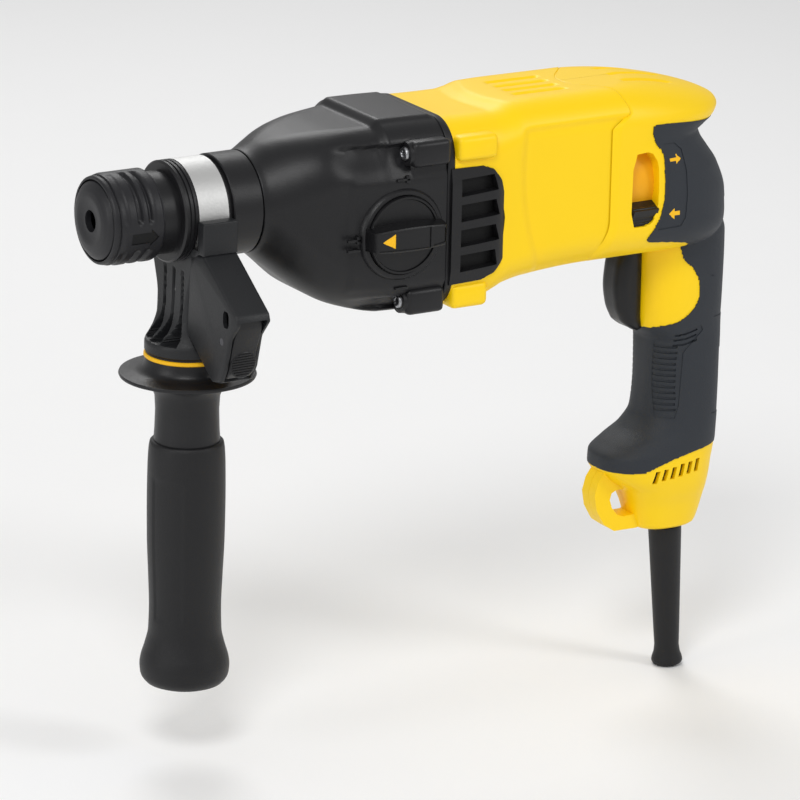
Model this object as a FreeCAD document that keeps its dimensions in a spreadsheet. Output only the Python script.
import FreeCAD, Part
import math
import os

import Sketcher
from FreeCAD import Placement, Rotation, Vector

# Corded rotary hammer.  The spindle axis is X, the bit points to -X, the grip hangs to -Z,
# and the origin is the mouth of the tool holder.  Millimetres throughout.

doc = FreeCAD.newDocument("rotary_hammer")

# ---------------------------------------------------------------- driving dimensions

DIMENSIONS = [
    # tool holder and hammer tube
    ("bit_bore", 5.05, "radius of the SDS-plus socket"),
    ("holder_radius", 9.5, "slim front of the tool holder"),
    ("journal_radius", 11.0, "tool holder where the front bearing sits"),
    ("beat_guide", 8.0, "bore that guides the beat piece"),
    ("tube_radius", 14.0, "outside of the hammer tube"),
    ("tube_bore", 10.0, "cylinder bore"),
    ("tube_front", 60.0, "front end of the hammer tube"),
    ("tube_rear", 130.0, "rear end of the hammer tube"),
    ("running", 0.05, "radial clearance of a running fit"),
    ("gap", 0.3, "space between parts that move past each other"),
    ("cap_radius", 19.2, "dust cap"),
    ("cap_front", -8.0, "front face of the dust cap"),
    ("cap_hole", 5.3, "hole in the dust cap"),
    ("collar_radius", 22.3, "outside of the locking collar"),
    ("collar_rear", 21.5, "rear edge of the locking collar"),
    ("ball_radius", 3.2, "detent balls"),
    # gearcase
    ("snout_radius", 20.0, "nose that the collar slides over"),
    ("snout_front", 20.6, "front of the gearcase nose"),
    ("flange_front", 31.0, "front of the ring before the clamp seat"),
    ("flange_radius", 24.6, "ring before the clamp seat"),
    ("seat_front", 37.5, "front of the clamp seat"),
    ("seat_rear", 57.0, "rear of the clamp seat"),
    ("seat_radius", 23.0, "clamp seat"),
    ("neck_radius", 25.0, "neck behind the clamp seat"),
    ("neck_rear", 73.0, "where the neck starts to swell"),
    ("wall", 3.5, "thickness of the plastic cases"),
    ("seam_front", 166.0, "joint of gearcase and motor housing"),
    ("seam_rear", 262.0, "joint of motor housing and handle"),
    ("case_half", 40.0, "half width at the gearcase"),
    ("motor_half", 38.5, "half width at the motor"),
    ("case_top", 37.5, "top at the gearcase joint"),
    ("case_bottom", -57.5, "bottom at the gearcase joint"),
    # drive
    ("motor_z", -9.0, "height of the armature axis"),
    ("counter_z", -31.0, "height of the countershaft axis"),
    ("wobble_x", 141.0, "centre of the wobble drive"),
    ("hub_radius", 9.5, "spherical wobble hub"),
    ("wobble_balls", 1.2, "radius of the wobble bearing's balls"),
    ("gear_module", 1.0, "tooth size of both gear pairs"),
    ("motor_pinion_teeth", 8, "teeth on the armature shaft"),
    ("driven_gear_teeth", 36, "teeth on the countershaft's gear"),
    ("counter_pinion_teeth", 14, "teeth on the countershaft's pinion"),
    ("spindle_gear_teeth", 48, "teeth on the spindle gear"),
    ("armature_radius", 21.5, "laminated core of the armature"),
    ("stator_radius", 33.0, "stator core"),
    ("commutator_radius", 12.0, "commutator"),
    ("brush_ring_radius", 31.0, "outside of the brush ring"),
    ("window_front", 274.0, "front edge of the direction window"),
    ("window_rear", 290.0, "rear edge of the direction window"),
    # controls
    ("knob_x", 141.0, "axis of the mode knob"),
    ("knob_z", -15.0, "axis of the mode knob"),
    ("knob_radius", 19.4, "disc of the mode knob"),
    # side handle
    ("clamp_x", 46.2, "side handle axis along the tool"),
    ("band_inner", 23.3, "inside of the steel band"),
    ("band_outer", 24.6, "outside of the steel band"),
    ("saddle_bottom", -70.2, "where the side grip meets the clamp"),
    ("grip_flange_z", -81.0, "hand stop of the side grip"),
    ("grip_flange_radius", 33.4, "hand stop of the side grip"),
    ("grip_bottom", -240.0, "end of the side grip"),
    # rear handle
    ("grip_front", 308.0, "front of the main grip"),
    ("grip_rear", 350.0, "rear of the main grip"),
    ("grip_half", 19.5, "half width of the main grip"),
    ("foot_bottom", -200.0, "lower end of the foot"),
    ("rubber", 2.2, "thickness of the grip's rubber skin"),
    ("cord_bore", 3.8, "hole for the supply cord"),
    ("cord_x", 325.6, "cord sleeve where it leaves the foot"),
    ("cord_tilt", 3.3, "lean of the cord sleeve, in degrees"),
]

sheet = doc.addObject("Spreadsheet::Sheet", "dims")
NUMBERS = {}
for row, (alias, size, meaning) in enumerate(DIMENSIONS, start=1):
    sheet.set("A%d" % row, alias)
    sheet.set("B%d" % row, str(size))
    sheet.setAlias("B%d" % row, alias)
    sheet.set("C%d" % row, meaning)
    NUMBERS[alias] = float(size)
doc.recompute()


# ---------------------------------------------------------------- terms
# A term is a plain number, an alias, "-alias", or a tuple of terms that are added together.

def number(term):
    """The present value of a term, for the starting shape of a sketch."""
    if isinstance(term, tuple):
        return sum(number(part) for part in term)
    if isinstance(term, str):
        sign = -1.0 if term.startswith("-") else 1.0
        return sign * NUMBERS[term.lstrip("-")]
    return float(term)


def formula(term):
    """The same term as an expression over the spreadsheet."""
    if isinstance(term, tuple):
        return " + ".join("(%s)" % formula(part) for part in term)
    if isinstance(term, str):
        sign = "-" if term.startswith("-") else ""
        return "%sdims.%s" % (sign, term.lstrip("-"))
    return repr(float(term))


def minus(term):
    """The term with its sign turned."""
    if isinstance(term, tuple):
        return tuple(minus(part) for part in term)
    if isinstance(term, str):
        return term.lstrip("-") if term.startswith("-") else "-" + term
    return -term


# ---------------------------------------------------------------- building blocks

TURN = {
    "X": Rotation(Vector(0, 1, 0), 90),
    "Y": Rotation(Vector(1, 0, 0), -90),
    "Z": Rotation(),
}


def place(item, x, y, z, rotation=None):
    item.Placement = Placement(Vector(number(x), number(y), number(z)), rotation or Rotation())
    for axis, term in (("x", x), ("y", y), ("z", z)):
        item.setExpression(".Placement.Base.%s" % axis, formula(term))
    return item


def cylinder(name, radius, length, axis, x=0.0, y=0.0, z=0.0):
    """A round bar whose first end is at x, y, z and which runs along +axis."""
    item = doc.addObject("Part::Cylinder", name)
    item.setExpression("Radius", formula(radius))
    item.setExpression("Height", formula(length))
    return place(item, x, y, z, TURN[axis])


def block(name, x, y, z):
    """A box between two corners, each axis given as (low, high)."""
    item = doc.addObject("Part::Box", name)
    for side, (low, high) in (("Length", x), ("Width", y), ("Height", z)):
        item.setExpression(side, formula((high, minus(low))))
    return place(item, x[0], y[0], z[0])


def ball(name, radius, x, y, z):
    item = doc.addObject("Part::Sphere", name)
    item.setExpression("Radius", formula(radius))
    return place(item, x, y, z)


def fuse(name, parts):
    item = doc.addObject("Part::MultiFuse", name)
    item.Shapes = parts
    return item


def cut(name, base, tools):
    item = doc.addObject("Part::Cut", name)
    item.Base = base
    item.Tool = tools[0] if len(tools) == 1 else fuse(name + "_tools", tools)
    return item


def common(name, first, second):
    item = doc.addObject("Part::Common", name)
    item.Base = first
    item.Tool = second
    return item


def together(name, parts):
    """Separate solids that share one node."""
    item = doc.addObject("Part::Compound", name)
    item.Links = parts
    return item


def tube(name, inner, outer, length, axis, x=0.0, y=0.0, z=0.0):
    """A ring with a round hole."""
    return cut(name, cylinder(name + "_outside", outer, length, axis, x, y, z),
               [cylinder(name + "_hole", inner, length, axis, x, y, z)])


def new_sketch(body, name, role, offset=0.0):
    sketch = body.newObject("Sketcher::SketchObject", name)
    plane = [item for item in body.Origin.OriginFeatures if item.Role == role][0]
    sketch.AttachmentSupport = [(plane, "")]
    sketch.MapMode = "FlatFace"
    sketch.AttachmentOffset = Placement(Vector(0, 0, number(offset)), Rotation())
    sketch.setExpression(".AttachmentOffset.Base.z", formula(offset))
    return sketch


def pin_point(sketch, line, end, across, up):
    """Hold one sketch point at two distances that the sheet gives."""
    for kind, term in (("DistanceX", across), ("DistanceY", up)):
        index = sketch.addConstraint(Sketcher.Constraint(kind, -1, 1, line, end, number(term)))
        sketch.setExpression("Constraints[%d]" % index, formula(term))


def outline(sketch, points):
    """A closed outline of straight runs through the given points."""
    places = [Vector(number(across), number(up), 0) for across, up in points]
    for index, start in enumerate(places):
        sketch.addGeometry(Part.LineSegment(start, places[(index + 1) % len(places)]), False)
    for index in range(len(points)):
        following = (index + 1) % len(points)
        sketch.addConstraint(Sketcher.Constraint("Coincident", index, 2, following, 1))
    for index, (across, up) in enumerate(points):
        pin_point(sketch, index, 1, across, up)


def rounded_outline(sketch, across, up, corner):
    """A rectangle with four equal round corners, each side given as (low, high)."""
    left, right = number(across[0]), number(across[1])
    low, high = number(up[0]), number(up[1])
    radius = number(corner)
    centres = [(right - radius, low + radius), (right - radius, high - radius),
               (left + radius, high - radius), (left + radius, low + radius)]
    for index, (middle, height) in enumerate(centres):
        circle = Part.Circle(Vector(middle, height, 0), Vector(0, 0, 1), radius)
        start = math.radians(90 * index - 90)
        sketch.addGeometry(Part.ArcOfCircle(circle, start, start + math.pi / 2), False)
    for index in range(4):
        first = sketch.Geometry[index].EndPoint
        second = sketch.Geometry[(index + 1) % 4].StartPoint
        sketch.addGeometry(Part.LineSegment(first, second), False)
    for index in range(4):
        sketch.addConstraint(Sketcher.Constraint("Tangent", index, 2, 4 + index, 1))
        sketch.addConstraint(Sketcher.Constraint("Tangent", 4 + index, 2, (index + 1) % 4, 1))
        kind = "Vertical" if index % 2 == 0 else "Horizontal"
        sketch.addConstraint(Sketcher.Constraint(kind, 4 + index))
    for index in range(1, 4):
        sketch.addConstraint(Sketcher.Constraint("Equal", 0, index))
    radius_index = sketch.addConstraint(Sketcher.Constraint("Radius", 0, radius))
    sketch.setExpression("Constraints[%d]" % radius_index, formula(corner))
    sides = [("DistanceX", 4, across[1]), ("DistanceY", 5, up[1]),
             ("DistanceX", 6, across[0]), ("DistanceY", 7, up[0])]
    for kind, line, term in sides:
        index = sketch.addConstraint(Sketcher.Constraint(kind, -1, 1, line, 1, number(term)))
        sketch.setExpression("Constraints[%d]" % index, formula(term))


def turned(name, points, axis="X", x=0.0, y=0.0, z=0.0):
    """A lathe part: points are (along, radius) about the given axis."""
    body = doc.addObject("PartDesign::Body", name)
    sketch = new_sketch(body, name + "_profile", "XZ_Plane")
    if axis == "X":
        outline(sketch, points)
    else:
        outline(sketch, [(radius, along) for along, radius in points])
    feature = body.newObject("PartDesign::Revolution", name + "_turn")
    feature.Profile = sketch
    feature.ReferenceAxis = (sketch, ["H_Axis" if axis == "X" else "V_Axis"])
    feature.Angle = 360
    return place(body, x, y, z)


ROLE = {"X": "YZ_Plane", "Y": "XZ_Plane", "Z": "XY_Plane"}


def sheet_offset(axis, low, high):
    """Where a pad's sketch lies: the XZ plane looks along -Y, so its offset is turned."""
    return minus(high) if axis == "Y" else low


def prism(name, axis, points, low, high, rounding=None):
    """A straight part with one outline, between two planes across the axis."""
    body = doc.addObject("PartDesign::Body", name)
    sketch = new_sketch(body, name + "_outline", ROLE[axis], sheet_offset(axis, low, high))
    outline(sketch, points)
    feature = body.newObject("PartDesign::Pad", name + "_pad")
    feature.Profile = sketch
    feature.Length = number(high) - number(low)
    feature.setExpression("Length", formula((high, minus(low))))
    if rounding is not None:
        doc.recompute()
        direction = {"X": Vector(1, 0, 0), "Y": Vector(0, 1, 0), "Z": Vector(0, 0, 1)}[axis]
        edges = []
        for index, edge in enumerate(feature.Shape.Edges, start=1):
            run = edge.Vertexes[-1].Point - edge.Vertexes[0].Point
            if run.Length > 0 and abs(run.normalize().dot(direction)) > 0.999:
                edges.append("Edge%d" % index)
        fillet = body.newObject("PartDesign::Fillet", name + "_round")
        fillet.Base = (feature, edges)
        fillet.setExpression("Radius", formula(rounding))
    return body


def lofted(name, axis, sections):
    """A body through rounded rectangles: (offset, (low, high), (low, high), corner)."""
    body = doc.addObject("PartDesign::Body", name)
    sketches = []
    for index, (offset, across, up, corner) in enumerate(sections):
        sketch = new_sketch(body, "%s_section%d" % (name, index), ROLE[axis], offset)
        rounded_outline(sketch, across, up, corner)
        sketches.append(sketch)
    feature = body.newObject("PartDesign::AdditiveLoft", name + "_loft")
    feature.Profile = sketches[0]
    feature.Sections = sketches[1:]
    feature.Ruled = True
    return body


def inset(sections, thickness):
    """The same sections moved inwards by a wall's thickness."""
    inner = []
    for offset, across, up, corner in sections:
        inner.append((offset,
                      ((across[0], thickness), (across[1], minus(thickness))),
                      ((up[0], thickness), (up[1], minus(thickness))),
                      (corner, minus(thickness))))
    return inner


def coil(name, radius, wire, turns, length, axis, x=0.0, y=0.0, z=0.0):
    """A compression spring, its first end at x, y, z."""
    helix = doc.addObject("Part::Helix", name + "_path")
    helix.setExpression("Radius", formula(radius))
    helix.Height = number(length) - 2 * wire
    helix.Pitch = helix.Height.Value / turns
    circle = doc.addObject("Part::Circle", name + "_wire")
    circle.Radius = wire
    place(circle, radius, 0.0, 0.0, Rotation(Vector(1, 0, 0), 90))
    sweep = doc.addObject("Part::Sweep", name + "_coil")
    sweep.Sections = [circle]
    sweep.Spine = (helix, [])
    sweep.Solid = True
    sweep.Frenet = True
    item = doc.addObject("Part::Compound", name)
    item.Links = [sweep]
    offset = TURN[axis].multVec(Vector(0, 0, wire))
    return place(item, (x, offset.x), (y, offset.y), (z, offset.z), TURN[axis])


def gear_outline(teeth, module, pressure, backlash, phase):
    """One closed wire of stub involute teeth, centred on the origin in the YZ plane."""
    pitch = teeth * module / 2
    base = pitch * math.cos(pressure)
    tip = pitch + 0.75 * module
    root = pitch - 0.95 * module
    start = max(base, root)
    half = math.pi / (2 * teeth) - backlash / (2 * pitch)
    spread = math.tan(pressure) - pressure

    def flank_angle(radius):
        opening = math.acos(min(1.0, base / radius))
        return half + spread - (math.tan(opening) - opening)

    def at(radius, angle):
        return Vector(0, radius * math.sin(angle), radius * math.cos(angle))

    edges = []
    for tooth in range(teeth):
        middle = phase + 2 * math.pi * tooth / teeth
        rise = [start + (tip - start) * step / 5 for step in range(6)]
        left = [at(radius, middle - flank_angle(radius)) for radius in rise]
        right = [at(radius, middle + flank_angle(radius)) for radius in reversed(rise)]
        foot_left = at(root, middle - flank_angle(start))
        foot_right = at(root, middle + flank_angle(start))
        if start > root:
            edges.append(Part.makeLine(foot_left, left[0]))
        for run in (left, right):
            curve = Part.BSplineCurve()
            curve.interpolate(run)
            edges.append(curve.toShape())
            if run is left:
                edges.append(Part.Arc(left[-1], at(tip, middle), right[0]).toShape())
        if start > root:
            edges.append(Part.makeLine(right[-1], foot_right))
        following = middle + 2 * math.pi / teeth
        gap_middle = middle + math.pi / teeth
        next_foot = at(root, following - flank_angle(start))
        edges.append(Part.Arc(foot_right, at(root, gap_middle), next_foot).toShape())
    return Part.Wire(Part.__sortEdges__(edges))


def spur_gear(name, teeth, bore, width, x, z, phase):
    """A straight-toothed gear along X: teeth are involutes, which no sketch tool draws here."""
    wire = gear_outline(int(number(teeth)), number("gear_module"), math.radians(25), 0.16, phase)
    solid = Part.Face(wire).extrude(Vector(number(width), 0, 0))
    if bore is not None:
        hole = Part.makeCylinder(number(bore), number(width), Vector(0, 0, 0), Vector(1, 0, 0))
        solid = solid.cut(hole)
    item = doc.addObject("Part::Feature", name)
    item.Shape = solid
    return place(item, x, 0.0, z)


# ---------------------------------------------------------------- tool holder and hammer tube

turned("tool_holder", [
    (0.0, "bit_bore"), (0.0, ("holder_radius", -1.0)), (1.0, "holder_radius"),
    (49.8, "holder_radius"), (49.8, "journal_radius"), (70.0, "journal_radius"),
    (70.0, "beat_guide"), (50.5, "beat_guide"), (50.5, "bit_bore")])

holder_body = doc.getObject("tool_holder")
BALL_X = 13.0
ball_pocket_radius = ("ball_radius", 0.02)
ball_offset = ("bit_bore", "ball_radius", 0.15)
holder = cut("tool_holder_cut", holder_body, [
    ball("ball_pocket_upper", ball_pocket_radius, BALL_X, 0.0, ball_offset),
    ball("ball_pocket_lower", ball_pocket_radius, BALL_X, 0.0, minus(ball_offset))])

together("detent_balls", [
    ball("detent_ball_upper", "ball_radius", BALL_X, 0.0, ball_offset),
    ball("detent_ball_lower", "ball_radius", BALL_X, 0.0, minus(ball_offset))])

turned("dust_cap", [
    ("cap_front", "cap_hole"), ("cap_front", 12.5), (("cap_front", 1.2), 15.5),
    (("cap_front", 3.4), 18.0), (("cap_front", 6.0), "cap_radius"), (-1.2, "cap_radius"),
    (-1.2, 12.0), (4.0, 12.0), (4.0, "holder_radius"), (0.0, ("holder_radius", 0.0)),
    (0.0, "cap_hole")])

turned("hammer_tube", [
    ("tube_front", "journal_radius"), ("tube_front", "tube_radius"), (84.0, "tube_radius"),
    (84.0, 19.5), (87.0, 19.5), (87.0, "tube_radius"), ("tube_rear", "tube_radius"),
    ("tube_rear", "tube_bore"), (70.0, "tube_bore"), (70.0, "journal_radius")])

turned("beat_piece", [
    (50.8, 0.0), (50.8, 3.8), (51.8, ("bit_bore", -0.1)), (56.0, ("bit_bore", -0.1)),
    (56.0, ("beat_guide", -0.1)), (68.0, ("beat_guide", -0.1)), (68.0, 5.0), (78.0, 5.0),
    (78.0, 0.0)])

turned("striker", [
    (86.0, 0.0), (86.0, 6.0), (90.0, 6.0), (90.0, ("tube_bore", "-running")),
    (95.0, ("tube_bore", "-running")), (95.0, 8.2), (97.6, 8.2),
    (97.6, ("tube_bore", "-running")), (103.0, ("tube_bore", "-running")), (103.0, 0.0)])

turned("striker_ring", [(95.4, 8.2), (95.4, 9.9), (97.2, 9.9), (97.2, 8.2)])

# The spindle gear turns the tube through a spring-loaded overload clutch.
spur_gear("spindle_gear", "spindle_gear_teeth", "tube_radius", 7.0, 106.0, 0.0,
          math.pi / NUMBERS["spindle_gear_teeth"])
coil("clutch_spring", 16.2, 1.3, 4.5, 18.2, "X", 87.2)


# ---------------------------------------------------------------- locking collar

collar_web = 9.5
turned("locking_collar", [
    (("cap_front", 3.0), 19.7), (("cap_front", 3.6), 21.4), (-2.0, "collar_radius"),
    ("collar_rear", "collar_radius"), ("collar_rear", ("snout_radius", 0.4)),
    (12.2, ("snout_radius", 0.4)), (12.2, 14.0), (collar_web, 14.0), (collar_web, 19.7)])
turned("lock_ring", [(9.0, 11.9), (9.0, 14.0), (17.0, 14.0), (17.0, 11.9)])

# The collar spring is drawn at its pressed length, behind the collar's rearmost place.
coil("collar_spring", 15.4, 0.7, 4.0, 8.6, "X", 20.9)


# ---------------------------------------------------------------- gearcase

GEARCASE_SECTIONS = [
    ("neck_rear", (-25.0, 25.0), (-25.0, 25.0), 24.6),
    (85.0, (-29.5, 29.5), (-32.0, 29.0), 25.0),
    (99.0, (-35.0, 35.0), (-44.0, 33.0), 24.0),
    (115.0, (-38.0, 38.0), (-52.5, 34.8), 22.0),
    (135.0, ("-case_half", "case_half"), ("case_bottom", 38.2), 20.0),
    ("seam_front", ("-case_half", "case_half"), ("case_bottom", "case_top"), 18.0),
]
gearcase_skin = lofted("gearcase_skin", "X", GEARCASE_SECTIONS)
gearcase_hollow = lofted("gearcase_hollow", "X", inset(GEARCASE_SECTIONS, "wall"))
gearcase_nose = turned("gearcase_nose", [
    ("snout_front", 16.9), ("snout_front", "snout_radius"), ("flange_front", "snout_radius"),
    ("flange_front", "flange_radius"), ("seat_front", "flange_radius"),
    ("seat_front", "seat_radius"), ("seat_rear", "seat_radius"), ("seat_rear", "neck_radius"),
    ("neck_rear", "neck_radius"), ("neck_rear", 19.5), (60.2, 19.5), (60.2, 19.0),
    (49.8, 19.0), (49.8, 15.5), (43.5, 15.5), (43.5, 16.9)])

# Four screws pull the gearcase onto the motor housing; a groove leads a driver to each head.
BOSSES = [(37.5, 24.0), (-37.5, 24.0), (33.0, -51.0), (-33.0, -51.0)]
BOSS_FRONT = 146.0
boss_solids = []
boss_holes = []
groove_backs = []
for index, (y, z) in enumerate(BOSSES):
    boss_solids.append(cylinder("gearcase_boss%d" % index, 6.6, ("seam_front", -BOSS_FRONT), "X",
                                BOSS_FRONT, y, z))
    groove_backs.append(cylinder("groove_back%d" % index, 7.4, 46.0, "X", 104.0, y, z))
    boss_holes.append(cylinder("gearcase_boss_hole%d" % index, 2.4, 22.0, "X",
                               BOSS_FRONT - 1.0, y, z))
    boss_holes.append(cylinder("driver_groove%d" % index, 4.5, BOSS_FRONT - 95.0, "X", 95.0,
                               y, z))
backs_inside = common("backs_inside", fuse("groove_backs", groove_backs), gearcase_skin)
knob_turret = cylinder("knob_turret", 22.0, 5.0, "Y", "knob_x", -41.0, "knob_z")
knob_recess = cylinder("knob_recess", ("knob_radius", "gap"), 3.0, "Y", "knob_x", -41.5, "knob_z")
knob_hole = cylinder("knob_hole", (8.0, "running"), 14.0, "Y", "knob_x", -42.0, "knob_z")
tube_bulkhead = block("tube_bulkhead", (121.0, 129.0), (-36.4, 36.4), (-14.0, 34.0))
bulkhead_hole = cylinder("bulkhead_hole", 18.0, 12.0, "X", 119.0)
counter_seat = cylinder("counter_seat", 12.5, 9.0, "X", 95.0, 0.0, "counter_z")
counter_seat_hole = cylinder("counter_seat_hole", 9.5, 6.5, "X", 97.5, 0.0, "counter_z")
bulkhead_fit = common("bulkhead_fit", tube_bulkhead, lofted("bulkhead_limit", "X",
                                                             inset(GEARCASE_SECTIONS, 3.4)))
seat_fit = common("seat_fit", counter_seat, lofted("seat_limit", "X",
                                                    inset(GEARCASE_SECTIONS, 3.4)))
gearcase_wall = cut("gearcase_wall", gearcase_skin, [gearcase_hollow])
gearcase_joined = fuse("gearcase_joined", [gearcase_wall, gearcase_nose, knob_turret,
                                           bulkhead_fit, seat_fit, backs_inside] + boss_solids)
gearcase_clear = cylinder("gearcase_clear", 19.5, 14.0, "X", 60.2)
cut("gearcase", gearcase_joined, [knob_recess, knob_hole, bulkhead_hole,
                                  counter_seat_hole, gearcase_clear] + boss_holes)

SCREW_FRONT = 142.0
screws = []
for index, (y, z) in enumerate(BOSSES):
    head = cylinder("gearcase_screw_head%d" % index, 4.2, 4.0, "X", SCREW_FRONT, y, z)
    shank = cylinder("gearcase_screw_shank%d" % index, 2.2, 42.0, "X", SCREW_FRONT + 3.5, y, z)
    screws.append(fuse("gearcase_screw%d" % index, [head, shank]))
together("gearcase_screws", screws)

turned("spindle_seal", [(43.7, ("holder_radius", "running")), (43.7, 15.4), (49.2, 15.4),
                        (49.2, ("holder_radius", "running"))])


def bearing(name, shaft, outer, width, x, z=0.0):
    """A deep-groove bearing drawn as one ring, with a groove between its races."""
    middle = (number(shaft) + number(outer)) / 2
    groove = (number(outer) - number(shaft)) / 5
    start = number(x)
    return turned(name, [
        (start, (shaft, "running")), (start, middle - groove), (start + 0.6, middle - groove),
        (start + 0.6, middle + groove), (start, middle + groove), (start, outer),
        (start + width, outer), (start + width, (shaft, "running"))], "X", 0.0, 0.0, z)


bearing("front_bearing", "journal_radius", 18.95, 9.4, 50.4)
turned("tube_bushing", [(121.5, ("tube_radius", "running")), (121.5, 17.95), (128.5, 17.95),
                        (128.5, ("tube_radius", "running"))])


# ---------------------------------------------------------------- piston and wobble drive

piston_front = 112.0
piston_turned = turned("piston_turned", [
    (piston_front, 0.0), (piston_front, ("tube_bore", "-running")),
    (116.0, ("tube_bore", "-running")), (116.0, 8.2), (118.6, 8.2),
    (118.6, ("tube_bore", "-running")), (147.5, ("tube_bore", "-running")), (147.5, 0.0)])
piston_slot = block("piston_slot", (129.0, 149.0), (-5.2, 5.2), (-11.0, 11.0))
piston_pin_bore = cylinder("piston_pin_bore", (4.5, "running"), 24.0, "Y", "wobble_x", -12.0)
cut("piston", piston_turned, [piston_slot, piston_pin_bore])
turned("piston_ring", [(116.4, 8.2), (116.4, 9.9), (118.2, 9.9), (118.2, 8.2)])

pin_bar = cylinder("pin_bar", 4.5, 17.0, "Y", "wobble_x", -8.5)
pin_eye = cylinder("pin_eye", 3.3, 12.0, "Z", "wobble_x", 0.0, -6.0)
cut("piston_pin", pin_bar, [pin_eye])

race_radius = ("hub_radius", "gap", "wobble_balls", "wobble_balls", 0.05)
ring_disc = cylinder("ring_disc", 15.3, 10.0, "X", ("wobble_x", -5.0), 0.0, "counter_z")
ring_race = ball("ring_race", race_radius, "wobble_x", 0.0, "counter_z")
ring_finger = cylinder("ring_finger", 3.0, 20.5, "Z", "wobble_x", 0.0, ("counter_z", 13.5))
cut("wobble_ring", fuse("wobble_ring_joined", [ring_disc, ring_finger]), [ring_race])

WOBBLE_BALLS = 10
ball_circle = number(("hub_radius", "gap", "wobble_balls"))
balls = []
for index in range(WOBBLE_BALLS):
    angle = 2 * math.pi * index / WOBBLE_BALLS
    balls.append(ball("wobble_ball%d" % index, "wobble_balls", "wobble_x",
                      ball_circle * math.sin(angle),
                      ("counter_z", ball_circle * math.cos(angle))))
together("wobble_bearing_balls", balls)

hub_ball = ball("hub_ball", "hub_radius", "wobble_x", 0.0, "counter_z")
hub_slab = block("hub_slab", (("wobble_x", -6.5), ("wobble_x", 6.5)), (-12.0, 12.0),
                 (("counter_z", -12.0), ("counter_z", 12.0)))
hub_bore = cylinder("hub_bore", 5.5, 20.0, "X", ("wobble_x", -10.0), 0.0, "counter_z")
cut("wobble_hub", common("hub_zone", hub_ball, hub_slab), [hub_bore])

counter_bar = turned("counter_bar", [
    (97.6, 0.0), (97.6, 4.0), (103.8, 4.0), (103.8, 5.5), (170.0, 5.5), (170.0, 4.0),
    (176.5, 4.0), (176.5, 0.0)], "X", 0.0, 0.0, "counter_z")
counter_teeth = spur_gear("counter_teeth", "counter_pinion_teeth", None, 11.0, 104.0,
                          "counter_z", 0.0)
fuse("countershaft", [counter_bar, counter_teeth])
spur_gear("driven_gear", "driven_gear_teeth", 5.5, 7.0, 160.0, "counter_z", 0.0)
together("countershaft_bearings", [
    bearing("counter_front_bearing", 4.0, 9.4, 5.6, 97.8, "counter_z"),
    bearing("counter_rear_bearing", 4.0, 9.4, 5.6, 170.6, "counter_z")])


# ---------------------------------------------------------------- gear plate and air baffle

def case_section(offset, half, low, high, corner):
    return (offset, ("-" + half, half) if isinstance(half, str) else (-half, half),
            (low, high), corner)


BAFFLE_SECTIONS = [
    case_section(("seam_front", 0.05), "case_half", "case_bottom", "case_top", 18.0),
    case_section(("seam_front", 4.0), "case_half", "case_bottom", "case_top", 18.0),
]
CHEEK_FRONT = 170.0
CHEEK_REAR = 201.0
cheek_height = (-43.0, 13.5)


def cheek(side, half_low, half_high):
    """One vented side panel of the baffle, with four slots."""
    low, high = sorted((side * half_low, side * half_high))
    label = "left" if side < 0 else "right"
    plate = block("cheek_%s" % label, (CHEEK_FRONT - 0.5, CHEEK_REAR), (low, high), cheek_height)
    slots = []
    for index in range(4):
        middle = 4.5 - 12.8 * index
        slots.append(block("cheek_slot_%s%d" % (label, index), (174.0, 193.0),
                           (low - 1, high + 1), (middle - 4.0, middle + 4.0)))
    return plate, slots


left_cheek, left_slots = cheek(-1, 35.3, 40.0)
right_cheek, right_slots = cheek(1, 35.3, 40.0)
baffle_plate = lofted("baffle_plate", "X", BAFFLE_SECTIONS)
baffle_lobes = []
baffle_holes = []
for index, (y, z) in enumerate(BOSSES):
    baffle_lobes.append(cylinder("baffle_lobe%d" % index, 6.6, 3.95, "X",
                                 ("seam_front", 0.05), y, z))
    baffle_holes.append(cylinder("baffle_hole%d" % index, 2.4, 6.0, "X",
                                 ("seam_front", -1.0), y, z))
baffle_opening = cylinder("baffle_opening", 31.5, 8.0, "X", ("seam_front", -1.0), 0.0, -12.0)
baffle_counter = cylinder("baffle_counter", 19.6, 8.0, "X", ("seam_front", -1.0), 0.0,
                          "counter_z")
cut("air_baffle", fuse("baffle_joined", [baffle_plate, left_cheek, right_cheek] + baffle_lobes),
    [baffle_opening, baffle_counter] + left_slots + right_slots + baffle_holes)

PLATE_FRONT = 170.2
plate_disc = block("plate_disc", (PLATE_FRONT, PLATE_FRONT + 5.0), (-28.0, 28.0), (-45.0, 22.0))
plate_boss = cylinder("plate_boss", 14.0, 15.0, "X", PLATE_FRONT, 0.0, "motor_z")
plate_counter = cylinder("plate_counter", 12.4, 8.0, "X", PLATE_FRONT, 0.0, "counter_z")
plate_bore = cylinder("plate_bore", 10.95, 9.0, "X", 177.0, 0.0, "motor_z")
plate_shaft = cylinder("plate_shaft", 6.0, 20.0, "X", 168.0, 0.0, "motor_z")
plate_counter_bore = cylinder("plate_counter_bore", 9.5, 6.6, "X", 170.0, 0.0, "counter_z")
cut("gear_plate", fuse("gear_plate_joined", [plate_disc, plate_boss, plate_counter]),
    [plate_bore, plate_shaft, plate_counter_bore])


# ---------------------------------------------------------------- motor housing

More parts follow.
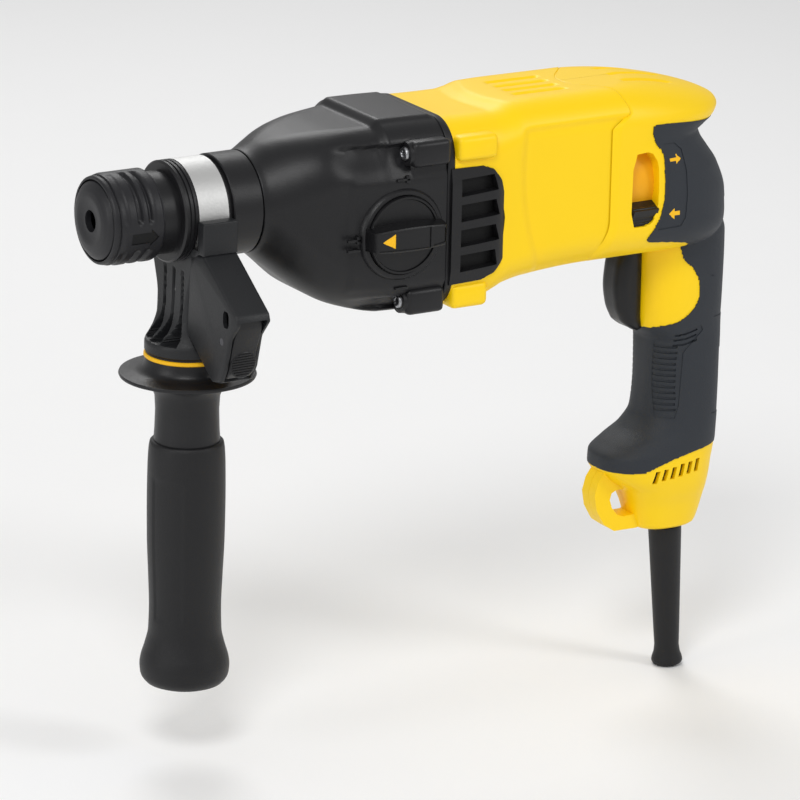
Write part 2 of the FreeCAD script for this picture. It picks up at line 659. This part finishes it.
MOTOR_SECTIONS = [
    case_section(("seam_front", 4.1), 39.8, "case_bottom", 36.5, 18.0),
    case_section(204.0, 39.5, -56.0, 36.0, 18.0),
    case_section(212.0, "motor_half", -52.0, 39.3, 18.0),
    case_section("seam_rear", "motor_half", -47.5, 39.5, 18.0),
]
motor_skin = lofted("motor_skin", "X", MOTOR_SECTIONS)
motor_hollow = lofted("motor_hollow", "X", inset(MOTOR_SECTIONS, 3.0))
motor_lobes = []
motor_holes = []
for index, (y, z) in enumerate(BOSSES):
    motor_lobes.append(cylinder("motor_lobe%d" % index, 6.4, 22.0, "X",
                                ("seam_front", 4.1), y, z))
    motor_holes.append(cylinder("motor_hole%d" % index, 2.3, 20.0, "X", 169.0, y, z))
cheek_windows = []
for side in (-1, 1):
    low, high = sorted((side * 30.0, side * 41.0))
    cheek_windows.append(block("cheek_window%d" % (side + 1), (168.0, CHEEK_REAR + 0.1),
                               (low, high), (cheek_height[0] - 0.1, cheek_height[1] + 0.1)))
motor_wall = cut("motor_wall", motor_skin, [motor_hollow])
stator_rib = common("stator_rib", cut("stator_rib_plate",
                                      block("stator_rib_block", (206.0, 246.0), (-38.0, 38.0),
                                            (-54.0, 38.0)),
                                      [cylinder("stator_seat", ("stator_radius", 0.05), 44.0,
                                                "X", 204.0, 0.0, "motor_z"),
                                       block("rib_gap_upright", (204.0, 248.0), (-28.0, 28.0),
                                             (-60.0, 40.0)),
                                       block("rib_gap_level", (204.0, 248.0), (-40.0, 40.0),
                                             (-31.0, 13.0))]),
                    lofted("rib_limit", "X", inset(MOTOR_SECTIONS, 2.9)))
cut("motor_housing", fuse("motor_joined", [motor_wall, stator_rib] + motor_lobes),
    motor_holes + cheek_windows)

tube("stator_core", ("armature_radius", 0.7), "stator_radius", 40.0, "X", 206.0, 0.0, "motor_z")


def field_coil(name, x, low, high):
    """The copper end turns of one field winding, above or below the core."""
    ring = tube(name + "_ring", 23.5, 30.5, 7.0, "X", x, 0.0, "motor_z")
    arch = block(name + "_arch", (x - 1.0, x + 8.0), (-32.0, 32.0), (low, high))
    return common(name, ring, arch)


field_parts = []
for index, x in enumerate((198.6, 246.3)):
    field_parts.append(field_coil("field_coil_upper%d" % index, x, -5.0, 24.0))
    field_parts.append(field_coil("field_coil_lower%d" % index, x, -42.0, -13.0))
together("field_coils", field_parts)

armature_bar = turned("armature_bar", [
    (168.6, 0.0), (168.6, 4.0), (296.5, 4.0), (296.5, 0.0)], "X", 0.0, 0.0, "motor_z")
armature_teeth = spur_gear("armature_teeth", "motor_pinion_teeth", None, 10.0, 158.6,
                           "motor_z", math.pi / NUMBERS["motor_pinion_teeth"])
fuse("armature_shaft", [armature_bar, armature_teeth])
core = tube("core_stack", 4.0, "armature_radius", 40.0, "X", 206.0, 0.0, "motor_z")
SLOTS = 12
core_slots = []
for index in range(SLOTS):
    angle = 2 * math.pi * index / SLOTS
    slot = cylinder("core_slot%d" % index, 1.6, 44.0, "X", 204.0,
                    (20.4 * math.sin(angle)), ("motor_z", 20.4 * math.cos(angle)))
    core_slots.append(slot)
cut("armature_core", core, core_slots)
together("armature_windings", [
    turned("winding_front", [(198.2, 8.0), (198.2, 15.0), (200.0, 19.0), (205.8, 20.0),
                             (205.8, 8.0)], "X", 0.0, 0.0, "motor_z"),
    turned("winding_rear", [(246.2, 8.0), (246.2, 20.0), (252.0, 19.0), (256.0, 14.0),
                            (256.0, 8.0)], "X", 0.0, 0.0, "motor_z")])
turned("commutator", [(260.0, 4.0), (260.0, 14.0), (262.5, 14.0), (262.5, "commutator_radius"),
                      (284.0, "commutator_radius"), (284.0, 4.0)], "X", 0.0, 0.0, "motor_z")

fan_hub = tube("fan_hub", 4.0, 9.0, 10.0, "X", 187.0, 0.0, "motor_z")
fan_disc = tube("fan_disc", 8.0, 29.0, 1.6, "X", 195.4, 0.0, "motor_z")
blades = []
BLADES = 14
for index in range(BLADES):
    blade = doc.addObject("Part::Box", "fan_blade%d" % index)
    blade.Length = 9.0
    blade.Width = 1.4
    blade.Height = 19.5
    turn = Rotation(Vector(1, 0, 0), 360.0 * index / BLADES)
    start = turn.multVec(Vector(0, -0.7, 8.5))
    place(blade, 187.0, start.y, ("motor_z", start.z), turn)
    blades.append(blade)
fuse("cooling_fan", [fan_hub, fan_disc] + blades)
together("motor_bearings", [
    bearing("motor_front_bearing", 4.0, 10.9, 7.0, 177.2, "motor_z"),
    bearing("motor_rear_bearing", 4.0, 9.5, 6.6, 288.2, "motor_z")])
bracket_plate = block("bracket_plate", (292.0, 295.0), (-35.0, 35.0), (-14.0, -4.0))
bracket_cup = cylinder("bracket_cup", 12.0, 8.5, "X", 288.4, 0.0, "motor_z")
bracket_bore = cylinder("bracket_bore", 9.55, 9.0, "X", 286.0, 0.0, "motor_z")
bracket_shaft = cylinder("bracket_shaft", 5.0, 20.0, "X", 284.0, 0.0, "motor_z")
cut("motor_bracket", fuse("bracket_joined", [bracket_plate, bracket_cup]),
    [bracket_bore, bracket_shaft])


# ---------------------------------------------------------------- brush ring

ring_tube = tube("brush_ring_tube", 27.0, "brush_ring_radius", 14.0, "X", 270.0, 0.0, "motor_z")
TAB_ANGLE = 22.4
tab_turn = Rotation(Vector(1, 0, 0), TAB_ANGLE)
tab = doc.addObject("Part::Box", "brush_tab")
tab.setExpression("Length", formula(("window_rear", "-window_front", -1.6)))
tab.Width = 12.3
tab.Height = 8.4
tab_corner = tab_turn.multVec(Vector(0, -41.0, -4.2))
place(tab, ("window_front", 0.8), tab_corner.y, ("motor_z", tab_corner.z), tab_turn)
holders = []
holder_holes = []
for side in (-1, 1):
    low, high = sorted((side * 13.2, side * 28.0))
    holders.append(block("brush_holder%d" % (side + 1), (271.0, 283.0), (low, high),
                         (("motor_z", -5.5), ("motor_z", 5.5))))
    holder_holes.append(block("brush_way%d" % (side + 1), (273.0, 281.0),
                              (low - (3.0 if side < 0 else 3.0), high + 0.5),
                              (("motor_z", -3.5), ("motor_z", 3.5))))
cut("brush_ring", fuse("brush_ring_joined", [ring_tube, tab] + holders), holder_holes)
brushes = []
for side in (-1, 1):
    low, high = sorted((side * 12.15, side * 26.0))
    brushes.append(block("brush%d" % (side + 1), (273.1, 280.9), (low, high),
                         (("motor_z", -3.4), ("motor_z", 3.4))))
together("carbon_brushes", brushes)


# ---------------------------------------------------------------- rear handle

UPPER_SECTIONS = [
    (-47.0, (("seam_rear", -30.0), 340.0), (-30.0, 30.0), 12.0),
    (-40.0, (("seam_rear", -30.0), 346.0), (-38.0, 38.0), 14.0),
    (-20.0, (("seam_rear", -30.0), 345.5), ("-motor_half", "motor_half"), 16.0),
    (0.0, (("seam_rear", -30.0), 336.5), ("-motor_half", "motor_half"), 18.0),
    (10.0, (("seam_rear", -30.0), 330.5), ("-motor_half", "motor_half"), 18.0),
    (16.5, (("seam_rear", -30.0), 339.0), (-38.0, 38.0), 18.0),
    (22.0, (("seam_rear", -30.0), 342.5), (-36.0, 36.0), 20.0),
    (30.0, (("seam_rear", -30.0), 332.5), (-31.0, 31.0), 18.0),
    (36.0, (("seam_rear", -30.0), 311.0), (-23.0, 23.0), 14.0),
    (39.3, (("seam_rear", -30.0), 290.0), (-12.0, 12.0), 8.0),
]
LOWER_SECTIONS = [
    ("foot_bottom", (308.0, 337.0), (-11.0, 11.0), 8.0),
    (-194.0, (304.0, 340.0), (-14.0, 14.0), 9.0),
    (-178.0, (297.0, 345.0), (-20.0, 20.0), 10.0),
    (-166.0, (283.0, 347.0), (-22.0, 22.0), 12.0),
    (-158.0, (288.0, 348.5), (-22.0, 22.0), 12.0),
    (-142.0, ("grip_front", "grip_rear"), ("-grip_half", "grip_half"), 14.0),
    (-98.0, ("grip_front", "grip_rear"), ("-grip_half", "grip_half"), 14.0),
    (-90.0, (301.0, "grip_rear"), (-20.5, 20.5), 14.0),
    (-44.0, (300.0, "grip_rear"), (-23.0, 23.0), 14.0),
]
# The upper sections run forward past the joint, so that a plane can cut them off square.
before_joint = block("before_joint", (225.0, ("seam_rear", 0.1)), (-60.0, 60.0), (-60.0, 60.0))
upper_skin = cut("upper_skin", lofted("upper_shape", "Z", UPPER_SECTIONS), [before_joint])
lower_skin = lofted("lower_skin", "Z", LOWER_SECTIONS)
# The hollows stop one section short of the closed ends.
upper_hollow = lofted("upper_hollow", "Z", inset(UPPER_SECTIONS[1:-1], ("rubber", 1.2)))
lower_hollow = lofted("lower_hollow", "Z", inset(LOWER_SECTIONS[1:], ("rubber", 2.6)))
joint_hollow = block("joint_hollow", (306.0, 342.0), (-16.0, 16.0), (-60.0, -30.0))
loop_plate = prism("loop_plate", "Y", [
    (300.0, -165.0), (281.0, -165.0), (274.0, -172.0), (273.0, -180.0), (280.0, -192.0),
    (290.0, -198.0), (310.0, -196.0)], -6.0, 6.0, 3.5)
loop_hole = prism("loop_hole", "Y", [
    (285.5, -180.0), (289.5, -176.5), (300.0, -178.5), (306.0, -187.5), (304.0, -190.5),
    (291.5, -191.5)], -8.0, 8.0, 1.6)
sleeve_hole = cylinder("sleeve_hole", 7.6, 30.0, "Z", "cord_x", 0.0, -210.0)
trigger_mouth = block("trigger_mouth", (296.0, 314.0), (-9.9, 9.9), (-95.2, -48.0))
trigger_roof = block("trigger_roof", (281.5, 302.0), (-9.9, 9.9), (-51.0, -44.6))
window_cut = block("window_cut", ("window_front", "window_rear"), (-45.0, -30.0), (-30.0, 5.5))
skin_joined = fuse("handle_skin", [upper_skin, lower_skin, loop_plate])
handle_tools = [upper_hollow, lower_hollow, joint_hollow, loop_hole, sleeve_hole,
                trigger_mouth, trigger_roof, window_cut]
open_wall = cut("open_wall", skin_joined, handle_tools)

# Each screw goes in from the right: (x, z, how deep its head lies).
HANDLE_SCREWS = [(302.0, 24.0, 22.0), (300.0, -35.0, 20.0), (340.0, -36.0, 14.0),
                 (331.0, -103.0, 11.0), (331.0, -146.0, 11.0), (318.0, -172.0, 11.0)]
posts = []
post_holes = []
counterbores = []
shell_screws = []
for index, (x, z, depth) in enumerate(HANDLE_SCREWS):
    posts.append(cylinder("screw_post%d" % index, 4.8, 80.0, "Y", x, -40.0, z))
    post_holes.append(cylinder("screw_way%d" % index, 1.9, depth + 12.0, "Y", x, -10.0, z))
    counterbores.append(cylinder("counterbore%d" % index, 3.9, 40.0, "Y", x, depth, z))
    head = cylinder("handle_screw_head%d" % index, 3.6, 2.5, "Y", x, depth, z)
    shank = cylinder("handle_screw_shank%d" % index, 1.85, depth + 9.5, "Y", x, -9.0, z)
    shell_screws.append(fuse("handle_screw%d" % index, [head, shank]))
together("handle_screws", shell_screws)
posts_inside = common("posts_inside", fuse("screw_posts", posts), skin_joined)
handle_wall = cut("handle_wall", fuse("wall_and_posts", [open_wall, posts_inside]),
                  post_holes + counterbores)

# The rubber skin is let into the plastic, so it is cut out of the same outer shape.
RUBBER_OUTLINE = [
    (292.0, 21.0), (293.0, -24.0), (291.5, -31.0), (284.0, -37.5), (312.0, -43.0), (315.0, -56.0),
    (325.0, -64.0), (326.5, -79.0), (318.0, -88.0), (306.0, -91.0), (299.0, -96.0),
    (299.0, -140.0), (276.0, -156.0), (279.0, -165.0), (300.0, -165.0), (312.0, -162.0),
    (352.0, -158.0), (356.0, -40.0), (340.0, 8.0), (342.0, 15.5)]
core_upper = lofted("rubber_core_upper", "Z", inset(UPPER_SECTIONS, "rubber"))
core_lower = lofted("rubber_core_lower", "Z", inset(LOWER_SECTIONS, "rubber"))
rubber_core = fuse("rubber_core", [core_upper, core_lower])
rubber_zone = prism("rubber_zone", "Y", RUBBER_OUTLINE, -45.0, 45.0)
rubber_area = common("rubber_area", fuse("skin_outside", [upper_skin, lower_skin]), rubber_zone)
rubber_all = cut("rubber_all", rubber_area,
                 [rubber_core, trigger_mouth] + counterbores)
LEFT = ((255.0, 365.0), (-60.0, -0.02), (-210.0, 60.0))
RIGHT = ((255.0, 365.0), (0.02, 60.0), (-210.0, 60.0))
shell_all = cut("shell_all", handle_wall, [rubber_all])
common("handle_shell_left", shell_all, block("left_half", *LEFT))
common("handle_shell_right", shell_all, block("right_half", *RIGHT))
common("grip_rubber_left", rubber_all, block("left_half_rubber", *LEFT))
common("grip_rubber_right", rubber_all, block("right_half_rubber", *RIGHT))


# ---------------------------------------------------------------- trigger and switch

trigger_pad = prism("trigger_pad", "Y", [
    (283.5, -52.0), (297.0, -52.0), (297.0, -94.0), (291.0, -94.0), (285.0, -91.0),
    (281.5, -84.0), (281.0, -74.0), (281.6, -64.0)], -9.3, 9.3)
trigger_skirt = block("trigger_skirt", (296.0, 303.5), (-9.3, 9.3), (-94.0, -52.0))
trigger_stem = cylinder("trigger_stem", 3.0, 20.0, "X", 296.0, 0.0, -73.0)
fuse("trigger", [trigger_pad, trigger_skirt, trigger_stem])

switch_case = block("switch_case", (313.0, 343.0), (-10.5, 10.5), (-96.0, -50.0))
switch_way = cylinder("switch_way", 3.4, 16.0, "X", 312.0, 0.0, -73.0)
cut("switch_module", switch_case, [switch_way])


# ---------------------------------------------------------------- cord sleeve

sleeve = turned("cord_sleeve", [
    (9.0, "cord_bore"), (9.0, 7.6), (7.0, 7.6), (7.0, 6.9), (-0.8, 6.9), (-0.8, 8.5),
    (-4.0, 8.5), (-60.0, 6.6), (-68.0, 6.3), (-73.0, 7.4), (-75.5, 8.1), (-77.0, 7.4),
    (-77.0, "cord_bore")], "Z")
place(sleeve, "cord_x", 0.0, "foot_bottom", Rotation(Vector(0, 1, 0), -NUMBERS["cord_tilt"]))
clamp_bar = block("cord_clamp_bar", (315.0, 332.0), (-7.0, 7.0), (-185.5, -182.0))
clamp_way = cylinder("cord_clamp_way", 4.1, 8.0, "Z", 324.6, 0.0, -188.0)
cut("cord_clamp", clamp_bar, [clamp_way])


# ---------------------------------------------------------------- mode knob

knob_disc = cylinder("knob_disc", "knob_radius", 3.2, "Y", "knob_x", -42.2, "knob_z")
knob_shaft = cylinder("knob_shaft", 8.0, 18.0, "Y", "knob_x", -40.0, "knob_z")
knob_bar = block("knob_bar", (("knob_x", -21.5), ("knob_x", 21.5)), (-51.0, -42.0),
                 (("knob_z", -6.0), ("knob_z", 6.0)))
knob_limit = cylinder("knob_limit", 21.4, 12.0, "Y", "knob_x", -52.0, "knob_z")
knob_pin = cylinder("knob_pin", 2.0, 5.0, "Y", ("knob_x", -4.5), -22.5, "knob_z")
pointer_bed = prism("pointer_bed", "Y", [
    (("knob_x", -19.0), "knob_z"), (("knob_x", -12.0), ("knob_z", -4.2)),
    (("knob_x", -12.0), ("knob_z", 4.2))], -51.0, -50.4)
cut("mode_knob", fuse("mode_knob_joined", [
    knob_disc, knob_shaft, knob_pin, common("knob_bar_round", knob_bar, knob_limit)]),
    [pointer_bed])
prism("knob_pointer", "Y", [
    (("knob_x", -19.0), "knob_z"), (("knob_x", -12.0), ("knob_z", -4.2)),
    (("knob_x", -12.0), ("knob_z", 4.2))], -51.2, -50.4)


# ---------------------------------------------------------------- side handle

BAND_HALF = 8.0
band_low = ("clamp_x", -BAND_HALF)
band_ring = tube("band_ring", "band_inner", "band_outer", 2 * BAND_HALF, "X", band_low)
band_legs = []
for side in (-1, 1):
    low, high = sorted((side * 5.6, side * 6.9))
    band_legs.append(block("band_leg%d" % (side + 1), (band_low, ("clamp_x", BAND_HALF)),
                           (low, high), (-40.0, -23.6)))
band_foot = block("band_foot", (band_low, ("clamp_x", BAND_HALF)), (-6.9, 6.9), (-40.0, -38.4))
band_mouth = block("band_mouth", (("clamp_x", -9.0), ("clamp_x", 9.0)), (-5.6, 5.6),
                   (-38.4, -20.0))
band_hole = cylinder("band_hole", 4.2, 8.0, "Z", "clamp_x", 0.0, -43.0)
cut("clamp_band", fuse("band_joined", [band_ring, band_foot] + band_legs),
    [band_mouth, band_hole])

bolt_head = cylinder("bolt_head", 5.2, 5.0, "Z", "clamp_x", 0.0, -38.2)
bolt_shank = cylinder("bolt_shank", 4.0, 70.0, "Z", "clamp_x", 0.0, -108.0)
fuse("clamp_bolt", [bolt_head, bolt_shank])

ARM_FRONT = 37.0
ARM_REAR = 55.4
saddle_post = lofted("saddle_post", "Z", [
    ("saddle_bottom", (("clamp_x", -20.5), ("clamp_x", 20.5)), (-20.5, 20.5), 20.2),
    (-64.0, (("clamp_x", -20.5), ("clamp_x", 20.5)), (-20.5, 20.5), 19.0),
    (-56.0, (("clamp_x", -11.0), ("clamp_x", 11.0)), (-16.5, 16.5), 6.0),
    (-46.0, (("clamp_x", -9.3), ("clamp_x", 9.3)), (-15.6, 15.6), 3.0),
    (-32.0, (("clamp_x", -9.3), ("clamp_x", 9.3)), (-20.0, 20.0), 3.0),
    (-14.0, (("clamp_x", -9.3), ("clamp_x", 9.3)), (-28.5, 28.5), 3.0)])
band_block = block("band_block", (("clamp_x", -9.3), ("clamp_x", 9.3)), (-30.8, -22.0),
                   (-16.0, 0.5))
ARM = [(-20.0, -14.0), (-30.5, -15.3), (-62.5, -37.0), (-64.0, -41.0), (-56.4, -50.0),
       (-52.0, -66.0), (-48.0, -73.5), (-40.0, -75.0), (-17.0, -56.0)]
arm = prism("depth_arm", "X", ARM, ARM_FRONT, ARM_REAR)
arm_hollow = prism("arm_hollow", "X", [
    (-66.0, -38.5), (-58.5, -37.0), (-46.0, -29.5), (-30.0, -46.0), (-35.5, -64.0),
    (-42.0, -72.0), (-50.0, -79.0), (-62.0, -60.0), (-70.0, -48.0)],
    ARM_FRONT + 2.2, ARM_REAR - 2.2)
saddle_seat = cylinder("saddle_seat", ("band_outer", 0.05), 26.0, "X", 33.0)
saddle_slot = block("saddle_slot", (("clamp_x", -8.4), ("clamp_x", 8.4)), (-7.3, 7.3),
                    (-41.0, -20.0))
saddle_bore = cylinder("saddle_bore", 4.3, 40.0, "Z", "clamp_x", 0.0, -74.0)
rod_way = prism("rod_way", "X", [
    (-56.6, -37.6), (-54.9, -35.9), (-51.3, -35.9), (-49.6, -37.6), (-49.6, -43.8),
    (-51.3, -45.5), (-54.9, -45.5), (-56.6, -43.8)], 34.0, 58.0)
hinge_bore = cylinder("hinge_bore", 2.0, 24.0, "X", 34.0, -49.0, -52.5)
cut("clamp_saddle", fuse("saddle_joined", [saddle_post, band_block, arm]),
    [saddle_seat, saddle_slot, saddle_bore, rod_way, hinge_bore, arm_hollow])
cylinder("lock_pin", 1.95, ARM_REAR - ARM_FRONT, "X", ARM_FRONT, -49.0, -52.5)

lever = prism("lever_plate", "X", [
    (-57.0, -47.0), (-49.0, -47.0), (-45.8, -50.5), (-46.4, -56.0), (-45.5, -70.0),
    (-48.0, -71.5), (-51.5, -67.0), (-54.0, -56.0)], ARM_FRONT + 2.6, ARM_REAR - 2.6)
lever_bore = cylinder("lever_bore", (1.95, "running"), 24.0, "X", 34.0, -49.0, -52.5)
cut("depth_lock", lever, [lever_bore])

turned("side_grip", [
    (("saddle_bottom", -0.3), 4.3), (("saddle_bottom", -0.3), 20.3), (-71.2, 20.3),
    (-71.2, 19.5), (-73.8, 19.5), (-73.8, 20.6), (-79.4, 21.6),
    ("grip_flange_z", "grip_flange_radius"), (-83.2, "grip_flange_radius"), (-85.5, 22.0),
    (-89.5, 16.2), (-95.0, 15.4), (-115.6, 16.2), (-115.6, 13.0), (-236.0, 13.0),
    (-236.0, 0.0), (-112.0, 0.0), (-112.0, 4.3)], "Z", "clamp_x")
nut_hole = block("nut_hole", (("clamp_x", -6.6), ("clamp_x", 6.6)), (-6.6, 6.6), (-99.1, -90.9))
side_grip_body = doc.getObject("side_grip")
cut("side_grip_cut", side_grip_body, [nut_hole])
nut_blank = block("nut_blank", (("clamp_x", -6.5), ("clamp_x", 6.5)), (-6.5, 6.5), (-99.0, -91.0))
nut_bore = cylinder("nut_bore", (4.0, "running"), 10.0, "Z", "clamp_x", 0.0, -100.0)
cut("grip_nut", nut_blank, [nut_bore])
turned("grip_ring", [(-71.3, 19.5), (-71.3, 21.0), (-73.7, 21.3), (-73.7, 19.5)], "Z", "clamp_x")
turned("side_grip_sleeve", [
    (-115.7, 13.0), (-115.7, 17.6), (-125.0, 18.6), (-150.0, 19.0), (-185.0, 18.0),
    (-209.0, 17.5), (-222.0, 20.0), (-228.0, 22.0), (-234.0, 21.8), (-238.0, 20.0),
    ("grip_bottom", 17.0), ("grip_bottom", 0.0), (-236.0, 0.0), (-236.0, 13.0)],
    "Z", "clamp_x")


# ---------------------------------------------------------------- hand over

FINISHED = {
    "tool_holder_cut": "tool_holder",
    "side_grip_cut": "side_grip",
}
NODES = [
    "tool_holder_cut", "detent_balls", "dust_cap", "hammer_tube", "beat_piece", "striker",
    "striker_ring", "spindle_gear", "clutch_spring", "locking_collar", "lock_ring",
    "collar_spring", "gearcase", "gearcase_screws",
    "spindle_seal", "front_bearing", "tube_bushing", "piston", "piston_ring", "piston_pin",
    "wobble_ring", "wobble_bearing_balls", "wobble_hub", "countershaft", "driven_gear",
    "countershaft_bearings", "air_baffle", "gear_plate", "motor_bearings", "motor_housing",
    "stator_core", "field_coils", "armature_shaft", "armature_core", "armature_windings",
    "commutator", "cooling_fan", "motor_bracket", "brush_ring", "carbon_brushes",
    "handle_shell_left", "handle_shell_right", "grip_rubber_left", "grip_rubber_right",
    "handle_screws", "trigger", "switch_module", "cord_sleeve", "cord_clamp", "mode_knob",
    "knob_pointer", "clamp_band", "clamp_bolt", "clamp_saddle", "lock_pin", "depth_lock",
    "side_grip_cut", "grip_nut", "grip_ring", "side_grip_sleeve"]

doc.recompute()
for item in doc.Objects:
    if "Invalid" in item.State or "Error" in item.State:
        raise RuntimeError("%s did not compute: %s" % (item.Name, item.State))

os.makedirs("parts", exist_ok=True)
for name in NODES:
    item = doc.getObject(name)
    node = FINISHED.get(name, name)
    item.Label = node
    if item.Shape.isNull() or not item.Shape.isValid() or not item.Shape.Solids:
        raise RuntimeError("%s has no sound solid" % node)
    item.Shape.exportStep("parts/%s.step" % node)
